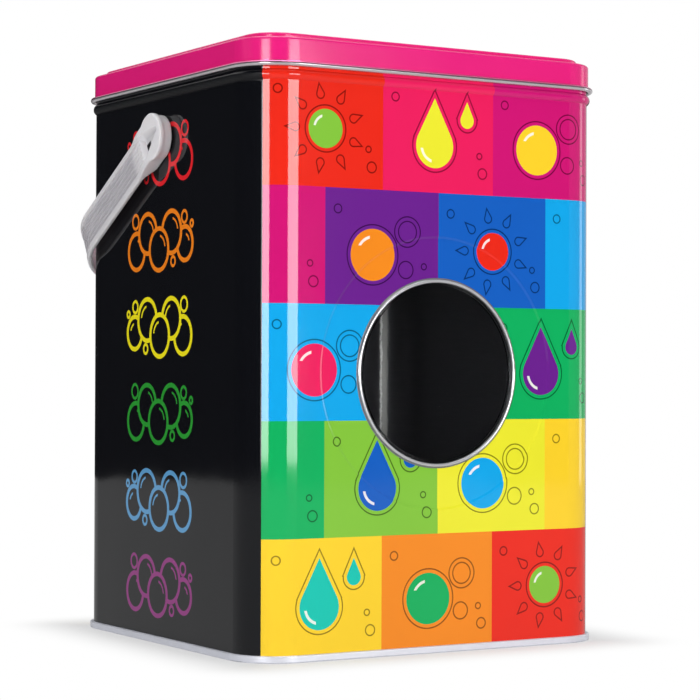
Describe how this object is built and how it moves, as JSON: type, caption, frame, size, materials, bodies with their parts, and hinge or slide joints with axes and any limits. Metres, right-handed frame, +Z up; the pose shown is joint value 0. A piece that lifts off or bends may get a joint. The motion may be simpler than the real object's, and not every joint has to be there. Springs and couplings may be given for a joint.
{
  "type": "laundry powder container",
  "caption": "Square printed tin with rounded corners, slip-on lid, round clear window in its front and a moulded bail handle.",
  "frame": {"origin": "middle of the tin's footprint, on the plane of the bottom seam's underside", "axes": "+Z up; the window faces -Y; the handle pivots about X and at rest lies against the back, +Y"},
  "size_m": [0.178, 0.1837, 0.2421],
  "materials": {
    "printed_tin": "gloss",
    "bare_tin": "satin",
    "pink_tin": "gloss",
    "clear_plastic": "gloss",
    "white_plastic": "satin"
  },
  "bodies": {
    "tin": {"body_shell": "printed_tin", "base_panel": "bare_tin", "window_pane": "clear_plastic"},
    "lid": {"lid": "pink_tin"},
    "handle": {"handle": "white_plastic"}
  },
  "joints": [
    {"name": "handle_swing", "type": "hinge", "parent": "tin", "child": "handle", "pos_m": [0, 0, 0.2071], "axis": [1, 0, 0], "range_deg": [0, 238]},
    {"name": "lid_lift", "type": "slide", "parent": "tin", "child": "lid", "axis": [0, 0, 1], "range_m": [0, 0.1]}
  ]
}
